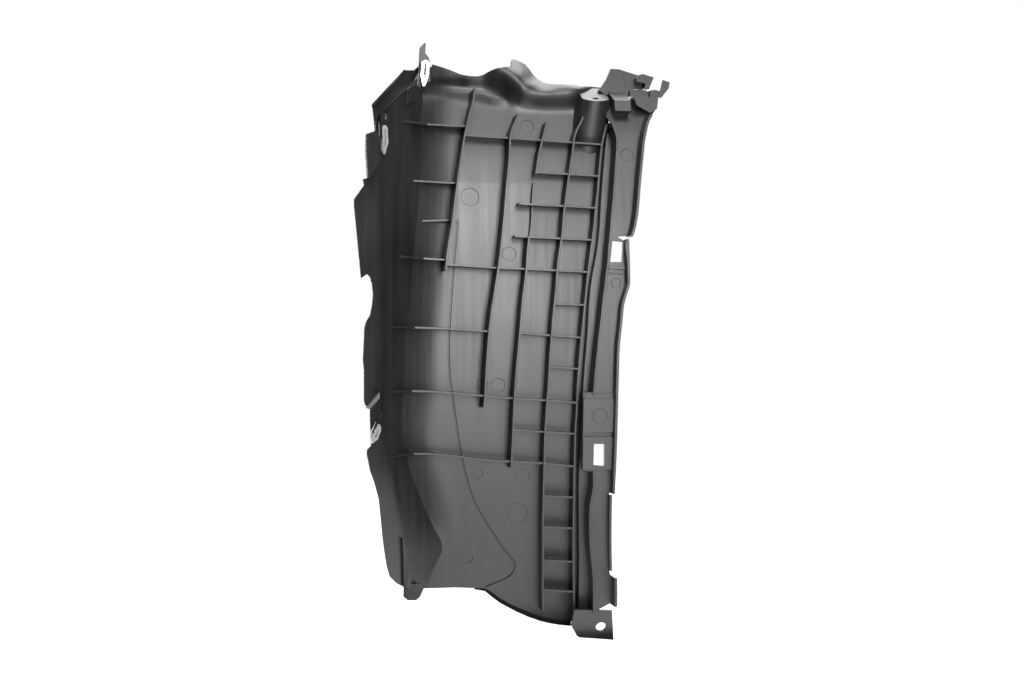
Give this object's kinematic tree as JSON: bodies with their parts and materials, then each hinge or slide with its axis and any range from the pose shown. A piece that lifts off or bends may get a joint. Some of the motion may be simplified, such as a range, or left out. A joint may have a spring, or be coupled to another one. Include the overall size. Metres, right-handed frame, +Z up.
{
  "type": "wheel arch liner",
  "caption": "Ribbed plastic wheel arch liner section: gently arched panel, side wall with push-on spring clips, stepped fixing flange with slots and a drilled lower tab",
  "frame": {"origin": "centre of the fixing hole in the lower tab, on the tab's ribbed side", "axes": "X runs across the liner from the side wall to the fixing flange, Z is up along the liner, and the ribbed side faces -Y"},
  "size_m": [0.2617, 0.1162, 0.4871],
  "materials": {
    "liner_plastic": "satin moulded polypropylene, very dark grey",
    "clip_steel": "bright zinc plated spring steel sheet"
  },
  "bodies": {
    "root": {"liner_panel": "liner_plastic", "spring_clips": "clip_steel"}
  },
  "joints": []
}
